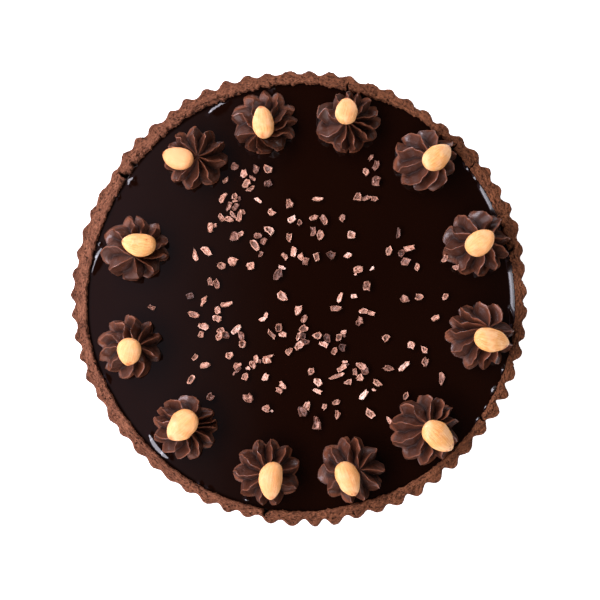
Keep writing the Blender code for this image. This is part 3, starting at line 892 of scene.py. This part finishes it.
nibs = dict(
    corners=9,
    cornerStray=0.25,
    outline=(0.66, 1.20),  # how far out a corner is at least and at most
    thickness=0.5,  # share of the width
    sunk=0.25,  # mm
    dished=0.45,
    # rings from below to the middle of the upper face: share of the outline, height in widths, share of the
    # hollow
    rings=((0.78, 0, 0), (1.04, 0.5, 0), (1.0, 0.85, 0), (0.82, 1.0, 0), (0.50, 0.9, 1)),
    # each nib: x and y in mm, length and width in mm, heading in degrees, how light it is, how hollow it is
    placed=(
        (-41, 78.3, 4.8, 4.4, 45, 0.35, 0.2), (-27.5, 76.5, 6.6, 3.5, 85, 0.3, 0.3),
        (-35, 74, 4.8, 4.2, 90, 0.8, 0.1), (-46, 70, 4.4, 2.6, 40, 0.6, 0),
        (-29.7, 71, 4.8, 2.6, -35, 0.4, 0.2), (-33.3, 67.5, 5.6, 4.2, 45, 0.75, 0.5),
        (-30.7, 64.7, 6.6, 2.8, 35, 0.65, 0.8), (-48, 58.5, 7.2, 3.2, 55, 0.65, 0),
        (-40.8, 59.7, 4.4, 3.4, 100, 0.7, 0.6), (-37.6, 58.5, 3, 2, 80, 0.25, 0),
        (-40.2, 56.8, 3.8, 1.5, 5, 0.7, 0), (-26.3, 57.5, 5.6, 2.3, -32, 1, 0),
        (-44.2, 53.5, 5.6, 2.8, 72, 0.45, 0), (-40, 53, 5, 3.6, 65, 0.35, 0.5),
        (-41.7, 48.3, 5.4, 2.8, -48, 0.7, 0.7), (-37.6, 47.2, 6.6, 3.6, 80, 0.65, 0.2),
        (-35.4, 49.8, 3.6, 2.4, -40, 0.6, 0), (-48.5, 46.5, 6.6, 3.4, -52, 0.65, 0.2),
        (-43.8, 45.2, 5.4, 3, -25, 0.65, 0.3), (-55.5, 40.3, 5.4, 4.2, 80, 0.75, 0),
        (-53, 41.2, 4.2, 2.2, 25, 0.6, 0), (-20.1, 76.5, 5.8, 4.6, 100, 0.8, 1),
        (-20, 68, 5.2, 4.2, 20, 0.1, 0), (-18, 49.6, 5.2, 4.2, -35, 0.8, 0.2),
        (-19.2, 38.3, 7.4, 4.2, -38, 0.95, 0.8), (-7, 55, 5.6, 4.6, 75, 0.55, 0.3),
        (-5.3, 45.2, 5, 4, 30, 1, 0.4), (-0.7, 43, 3.8, 3, 80, 0.4, 0.8), (11, 58, 6.8, 3, -5, 0.75, 0),
        (7.8, 46, 6.2, 3.4, 0, 0.55, 0.3), (14.6, 44.5, 7.6, 3.6, -60, 0.5, 0.4),
        (25.7, 46, 4.6, 3.6, 75, 0.5, 0.2), (43.5, 84, 4.2, 2.8, 60, 0.55, 0.2),
        (46.8, 79, 7.2, 4, 78, 0.3, 0.3), (40.4, 75.2, 5.2, 3.6, 105, 0.75, 0.2),
        (46.7, 69, 7.2, 5, 75, 0.3, 0.2), (35.2, 59.2, 5.8, 5, 60, 0.6, 0.6),
        (40.6, 58.5, 5, 3.2, 15, 0.5, 0.1), (45.3, 58.3, 4.6, 4, 20, 0.5, 0.2),
        (-40, 34.5, 6, 5.4, 80, 0.4, 0), (-36.8, 36.3, 4.4, 3.2, 20, 0.85, 0.5),
        (-26.4, 35.2, 5.2, 3.8, 5, 0.35, 0.1), (-22.4, 31.8, 4.6, 3.8, 60, 0.4, 0.3),
        (-28, 29.6, 8, 4, -58, 0.8, 0.9), (-24.3, 23.7, 4.2, 2.8, 70, 0.35, 0.7),
        (-64.5, 23.3, 7.6, 3, 100, 0.8, 0), (-57.5, 25.5, 7.2, 4, -32, 0.8, 0.1),
        (-48.7, 16.3, 6, 4.4, -15, 0.6, 0.6), (-41.1, 19, 5.8, 5.2, 30, 0.7, 0),
        (-30.6, 16.5, 5, 4.4, 10, 0.75, 0.2), (-55.1, 6.8, 5.6, 3, 100, 0.45, 0.6),
        (-51.3, 5, 5.6, 4.4, 110, 0.5, 0.3), (-67.6, -2.2, 5, 3.4, 20, 0, 0.4),
        (-58.9, -5, 6.4, 3, 62, 0.7, 0), (-45.5, -7.4, 8, 2.8, 10, 0.75, 0),
        (-6.9, 34.1, 4.8, 4, 85, 0.8, 0.6), (7.7, 37.6, 6.8, 3.2, 92, 0.35, 0.1),
        (12, 35.6, 5.6, 4.2, 100, 0.65, 0.6), (-4.2, 25, 6.2, 3, 85, 0.9, 0.1),
        (-9.6, 22.3, 5, 3, -50, 0.7, 0.1), (0.2, 22, 4.6, 3.4, 110, 0.7, 0.1),
        (2.9, 19, 5.4, 3.6, 65, 0.4, 0.4), (9.9, 21.5, 5.6, 4, 100, 0.75, 0.8),
        (18.8, 23.2, 5.8, 4.6, -20, 0.2, 0.9), (-11.6, 15.4, 5, 2.2, -20, 1, 0),
        (-14, 11, 6.8, 5.6, 65, 0.15, 0.4), (-11, -2.4, 7.4, 4.2, -35, 0.9, 0.6),
        (23.9, -3, 6.4, 3, 65, 0.9, 0.1), (31.2, 35.4, 5, 4.8, 0, 0.95, 0.4),
        (59.9, 36.5, 6.2, 2.6, 80, 0.1, 0.2), (54, 25.7, 5.8, 4, 95, 0.7, 0.6),
        (61.4, 24.4, 5.6, 3.8, 60, 0.3, 0.9), (66.3, 27, 7.2, 3.6, 15, 0.8, 0.1),
        (64.2, 19, 5.6, 4.6, -20, 0.4, 0.2), (29.1, 22.6, 5, 3.8, 15, 1, 0.2),
        (35, 13.7, 6.8, 4.2, 10, 0.6, 0.1), (33.6, 11.4, 1.8, 1.6, 0, 1, 0),
        (43.7, 14.8, 3.4, 1.5, 50, 1.2, 0), (40.1, 4, 6.6, 5.2, 110, 0.5, 0.7),
        (32.5, -2.3, 4.6, 2.8, -5, 1, 0), (63.3, -3.8, 5.6, 5, 10, 0.5, 0),
        (71.3, 15.8, 4.6, 2.8, 80, 0.7, 0), (72.4, -2.9, 4.8, 4, 0, 0.6, 0.6),
        (-50.2, -11, 4.6, 4, 70, 0.85, 0.3), (-51, -15.8, 5, 4.2, -20, 0.85, 0.6),
        (-64.8, -13.6, 6.8, 4, -32, 0.7, 0.5), (-59, -20.8, 5.8, 4, -25, 0.85, 0.5),
        (-60.2, -25.9, 4.8, 3.8, 75, 0.7, 0.4), (-48.5, -23.2, 5, 3.4, 25, 0.8, 0.6),
        (-49.2, -27.2, 5.4, 4, 80, 0.75, 0.3), (-45.5, -26.2, 4.6, 4, -50, 0.25, 0.8),
        (-39, -23, 7, 3.6, 50, 1, 0.4), (-36.2, -26.2, 6, 3.4, -75, 0.3, 0.4),
        (-35.5, -31.6, 4.8, 4.4, 20, 0.85, 0.9), (-64, -39.5, 4.8, 3, 65, 0.65, 0.6),
        (-57.7, -44.3, 5.8, 3.8, 15, 0.65, 0.1), (-43.5, -38.8, 5, 4.6, 0, 0.85, 0.5),
        (-66.2, -52.7, 6.4, 3.6, 48, 0.75, 0.9), (-38.7, -45, 5.6, 3.8, 30, 0.6, 0),
        (-37.6, -47.2, 5, 2.2, 40, 0.2, 0), (-40.4, -49.6, 2.6, 1.2, 65, 0.4, 0),
        (-27.1, -40.6, 4.6, 3.2, 105, 0.9, 0.1), (-25, -42, 2.8, 2.4, 0, 0.1, 0),
        (-29, -44.5, 6, 3.2, -65, 0.6, 0.4), (-31.6, -46.2, 3, 2.4, -20, 1, 0),
        (-33.6, -51.2, 6, 3.8, 70, 0.65, 0.5), (-23.3, -16.5, 4.8, 2.6, 25, 1, 0),
        (-21, -14.2, 4.4, 2.4, 75, 0.9, 0), (-20.2, -41.8, 5, 4.4, 10, 0.7, 0),
        (-19.8, -39.4, 7, 1.6, 12, 0.65, 0), (-21.1, -51.5, 4.6, 3.6, 60, 0.95, 0.1),
        (-1.7, -11, 5.8, 4.8, 80, 0.9, 0.3), (2.4, -16.2, 4.8, 3.4, 70, 0.5, 0.3),
        (1.7, -22, 5.2, 4.4, 0, 0.6, 0.8), (-1.3, -26.5, 5.6, 2.4, 78, 0.8, 0.6),
        (1.8, -26.8, 4, 3.6, 90, 0.05, 0.7), (3.3, -30.3, 4.6, 3.8, 0, 0.35, 0.9),
        (-0.8, -32.5, 5.2, 4.8, 45, 0.95, 0.4), (-13.4, -22, 5.4, 4.2, 80, 0.55, 1),
        (-17.6, -25.6, 6.6, 2.6, -48, 0.6, 0.8), (-11, -25.6, 5.2, 3, -15, 0.9, 0.3),
        (-7, -36, 4.8, 3.8, 65, 0.7, 0.4), (10.3, -26.3, 5.2, 4.6, 30, 0.85, 0.9),
        (16.2, -28, 4.8, 4.6, 0, 0.15, 0.8), (13.9, -31.7, 5.6, 3.4, -25, 0.95, 0.2),
        (20.4, -35.8, 4.8, 4, 60, 0.55, 0.2), (23.3, -27.3, 4.6, 4.2, 90, 0.8, 0.9),
        (25.2, -34, 4.8, 4.4, 0, 0, 0.6), (6.4, -48.3, 4, 3.8, 0, 0.75, 0.8),
        (24.6, -46.6, 6.8, 3.2, 42, 0.85, 0.3), (22.7, -50.7, 10, 2.8, 22, 0.75, 0.5),
        (21.2, -9.8, 6.4, 3.2, -5, 0.5, 0.5), (38.5, -11.6, 5, 3.6, -5, 0.8, 0.4),
        (43, -12.6, 5.4, 2.6, -20, 0.7, 0.2), (35.9, -17.8, 4.8, 4.4, 60, 0.45, 0.2),
        (26.2, -24.3, 4.2, 2.4, 10, 0.9, 0), (26.3, -26.3, 2.6, 2, 90, 0.4, 0),
        (51.8, -27.8, 4.8, 4.2, 60, 0.7, 0.9), (67, -31.9, 5.2, 4.6, -20, 0.85, 0.4),
        (53.2, -46, 6.4, 4, -8, 0.55, 0.6), (62.6, -44.9, 7.6, 3.2, 42, 1, 0.2),
        (36.4, -44.8, 6, 4, -20, 0.65, 0.4), (38.9, -47.9, 4.6, 4.2, 0, 0.2, 0.3),
        (32.9, -48.3, 4.8, 3, 100, 0.6, 0.6), (35.8, -52.3, 5, 4.2, 35, 0.75, 0.3),
        (26.8, -42.3, 3.6, 1.6, 5, 0.9, 0), (27.6, -44, 3.2, 2, -20, 0, 0),
        (28.8, -54.7, 4.8, 3.6, 40, 0.6, 0.4), (46.2, -55, 6.4, 4, -45, 0.75, 0.5),
        (-54.6, -63.8, 4.8, 4.6, 45, 0.3, 0.5), (-31.6, -64.5, 6.4, 5, 110, 0.45, 0),
        (-20.8, -70.9, 5.2, 4.2, 20, 0.6, 0.3), (-17.3, -72, 2, 1.6, 0, 1.1, 0),
        (-10.9, -56.5, 5.4, 3.2, -42, 0.8, 0.3), (-12.8, -59.9, 5, 3.4, -35, 0.6, 0.1),
        (10.6, -54.5, 5.4, 4.6, -60, 0.95, 0.3), (9.9, -60, 6.2, 3, -18, 0.95, 0.1),
        (3.5, -69, 5.4, 4, 95, 0.9, 0.2), (1, -72.7, 6.2, 5, 80, 0.15, 0),
        (9.9, -79.4, 7.6, 5.4, 85, 0.3, 0), (14.4, -69.3, 4.2, 3.2, 40, 0.6, 0.3),
        (21.2, -66.8, 5, 3.4, 40, 0.65, 0.6), (22.2, -74.3, 5.6, 3.8, 85, 0.6, 0.1),
        (44.1, -59.2, 2.8, 1.5, -20, 1, 0), (37.9, -62.4, 6.8, 3.6, 48, 1.2, 0.1),
        (42, -73.6, 6.6, 4, -42, 0.8, 0.7), (-91, -9.2, 5, 3, -20, 0.3, 0.3),
        (88.1, -2.5, 4.6, 3.6, 80, 0.7, 0.3), (81.8, -15.8, 5.8, 3.4, 12, 0.8, 0.2),
        (74.9, -34.9, 5, 3.4, -55, 0.75, 0.5), (75.5, -42.3, 5.2, 3.6, 65, 0.6, 0.6),
        (85.3, -53, 8, 3.6, 85, 0.5, 0.2),
    ),
    # nibs caught on the piping: the same, and last how far each is raised, in mm
    caught=(
        (63.3, -62.9, 5, 3, 70, 0.6, 0.9, 1.5), (53.4, -77.6, 5.4, 2.4, -60, 0.9, 0, 2),
        (87.9, 20.5, 5, 3, 60, 0.6, 0.3, 2.5), (94.7, 14.9, 4.4, 3, 20, 0.6, 0.2, 3),
    ),
)


# a nib is a flat chip with an uneven outline of a few corners, its upper face dished inside a raised edge
def buildNibs(material):
    rng = np.random.default_rng(41)
    places = np.array([(*nib, 0) for nib in nibs["placed"]] + list(nibs["caught"]))
    x0, y0, length, width, heading, light, hollow, lift = places.T[..., None, None]
    count, corners = len(places), nibs["corners"]
    stray = rng.uniform(-nibs["cornerStray"], nibs["cornerStray"], (count, corners))
    around = (np.arange(corners) / corners * fullTurn + stray)[:, None, :]
    out = rng.uniform(*nibs["outline"], (count, 1, corners))
    rings = np.array(nibs["rings"])[:, :, None]
    share, height, inside = rings[:, 0][None], rings[:, 1][None], rings[:, 2][None]
    jitter = 1 + 0.24 * rng.normal(size=(count, len(rings), corners))
    boxy = (np.abs(np.cos(around)) ** 4 + np.abs(np.sin(around)) ** 4) ** -0.2
    along = length / 2 * share * out * boxy * np.cos(around)
    aside = width / 2 * share * out * boxy * np.sin(around)
    risen = height * (1 + (jitter - 1) * (height > 0)) - nibs["dished"] * inside * hollow
    level = width * nibs["thickness"] * risen
    slope = rng.normal(size=(count, 1, 1)) * 0.14
    level = level + (along + length / 2) * np.abs(slope) * (height > 0) - nibs["sunk"] + lift
    turn = np.radians(heading)
    x, y = x0 + along * np.cos(turn) - aside * np.sin(turn), y0 + along * np.sin(turn) + aside * np.cos(turn)
    rows = np.stack([x, y, level + 0 * x], -1)
    low, high = rows[:, 0].mean(1), rows[:, -1].mean(1)
    points = np.concatenate([rows.reshape(count, -1, 3), low[:, None], high[:, None]], 1)
    points = points * mm + (0, 0, fillingHigh.z)
    faces = closedFaces(len(rings), corners)
    size = points.shape[1]
    allFaces = [[corner + k * size for corner in face] for k in range(count) for face in faces]
    hollows = np.concatenate([(inside * hollow + 0 * x).reshape(count, -1), 0 * low[:, :1], hollow[:, 0]], 1)
    tone = np.repeat(light[:, :, 0], size, 1) + 0.14 * rng.normal(size=(count, size))
    piece = addPiece("cocoaNibs", points, allFaces, material, [],
                     {"tone": tone, "hollow": hollows}, smooth=False)
    print("nibs:", count, "with", len(piece.data.polygons), "faces")


def nibMaterial():
    material, finish, shader = newMaterial("roasted cocoa nibs")
    tone = finish.attribute("tone")
    grain = finish.noise(1.0 * mm, 3, 0.6)
    stops = ((0.1, screen(60, 40, 36)), (0.42, screen(128, 84, 68)), (0.72, screen(208, 154, 128)),
             (0.95, screen(238, 203, 186)))
    lightness = tone * 0.62 + grain * 0.7 - 0.15
    colour = finish.node("ShaderNodeValToRGB", {"stops": stops}, {"Fac": lightness}, "Color")
    colour = finish.blend(finish.attribute("hollow") * 0.85, colour, screen(72, 44, 34))
    finish.feed(shader.inputs["Base Color"], colour)
    finish.feed(shader.inputs["Normal"], finish.bump(grain, 0.25 * mm))
    shader.inputs["Roughness"].default_value = 0.5
    return material


# the studio

studio = dict(
    lookAt=(-0.34 * mm, -4.89 * mm, 28 * mm),
    distance=0.72,
    tilt=7,  # degrees from straight down, seen from the front
    lens=71.1,
    # a row of windows round the left side, each overlapping the next a little: directions, how far out and
    # how high in metres, size, power and colour
    windows=dict(turns=range(117, 239, 24), out=0.62, high=0.49, size=(0.30, 0.20), power=1.85,
                 colour=(0.98, 0.95, 1.08)),
    # a weak light from the back right and one from the front: place, size, power and colour
    lamps=(
        ("fill", (0.9, 0.7, 1.0), (1.0, 1.0), 5, (1.0, 0.99, 0.98)),
        ("front", (0.1, -1.2, 0.8), (1.2, 0.7), 4.5, (1.0, 0.99, 0.98)),
    ),
)


def buildStudio():
    scene = bpy.context.scene
    scene.view_settings.view_transform = "Standard"
    tilt = math.radians(studio["tilt"])
    camera = bpy.data.objects.new("camera", bpy.data.cameras.new("camera"))
    scene.collection.objects.link(camera)
    away = Vector((0, -math.sin(tilt), math.cos(tilt)))
    camera.location = Vector(studio["lookAt"]) + studio["distance"] * away
    camera.rotation_euler = (tilt, 0, 0)
    camera.data.lens = studio["lens"]
    camera.data.sensor_width = 36
    scene.camera = camera

    floorMesh = bpy.data.meshes.new("floor")
    corners = [(x * 3, y * 3, -0.1 * mm) for x, y in ((-1, -1), (1, -1), (1, 1), (-1, 1))]
    floorMesh.from_pydata(corners, [], [(0, 1, 2, 3)])
    material, finish, shader = newMaterial("white paper")
    paper = finish.blend(finish.noise(0.2, 2), (0.90, 0.90, 0.90), (0.92, 0.92, 0.92))
    finish.feed(shader.inputs["Base Color"], paper)
    shader.inputs["Roughness"].default_value = 0.9
    shader.inputs["Specular IOR Level"].default_value = 0.1
    shader.inputs["Emission Color"].default_value = (1, 1, 1, 1)
    shader.inputs["Emission Strength"].default_value = 0.85
    floorMesh.materials.append(material)
    floor = bpy.data.objects.new("floor", floorMesh)
    scene.collection.objects.link(floor)

    # a dark ceiling right above, so that the glaze stays dark, and bright walls, the brightest on the left
    world = bpy.data.worlds.new("studio")
    world.use_nodes = True
    scene.world = world
    finish = Finish(world.node_tree)
    background = world.node_tree.nodes["Background"]
    towards = finish.node("ShaderNodeTexCoord", {}, {}, "Generated")
    split = finish.node("ShaderNodeSeparateXYZ", {}, {"Vector": towards}).socket.node
    right, up = Wire(finish, split.outputs["X"]), Wire(finish, split.outputs["Z"])
    walls = 1 - finish.step(up, 0.45, 0.9)
    left = finish.step(right * -1, -0.2, 0.5)
    glow = finish.step(right * -1, 0.0, 0.16) * 0.28 + finish.step(right, 0.08, 0.25) * 0.02 + 0.015
    light = walls * (0.25 + left * 0.8) + glow
    colour = finish.blend(left * (1 - walls), (0.97, 0.96, 1.0), (1.0, 0.68, 0.98))
    seen = finish.node("ShaderNodeLightPath", {}, {}, "Is Camera Ray")
    finish.feed(background.inputs["Color"], finish.blend(seen, colour, (1, 1, 1)))
    finish.feed(background.inputs["Strength"], light * (1 - seen) + seen)

    row = studio["windows"]
    windows = []
    for turn in row["turns"]:
        out = row["out"] * math.cos(math.radians(turn)), row["out"] * math.sin(math.radians(turn))
        windows.append((f"window{turn}", (*out, row["high"]), row["size"], row["power"], row["colour"]))
    for name, place, size, power, colour in (*windows, *studio["lamps"]):
        lamp = bpy.data.lights.new(name, "AREA")
        lamp.shape = "RECTANGLE"
        lamp.size, lamp.size_y = size
        lamp.energy = power
        lamp.color = colour
        holder = bpy.data.objects.new(name, lamp)
        holder.location = place
        holder.rotation_euler = (-Vector(place)).to_track_quat("-Z", "Y").to_euler()
        holder.visible_camera = False
        scene.collection.objects.link(holder)
    print("studio ready")


buildStudio()
buildCrust(crustMaterial())
buildFilling(fillingMaterial())
buildRosettes(rosetteMaterial())
buildAlmonds(almondMaterial())
buildNibs(nibMaterial())
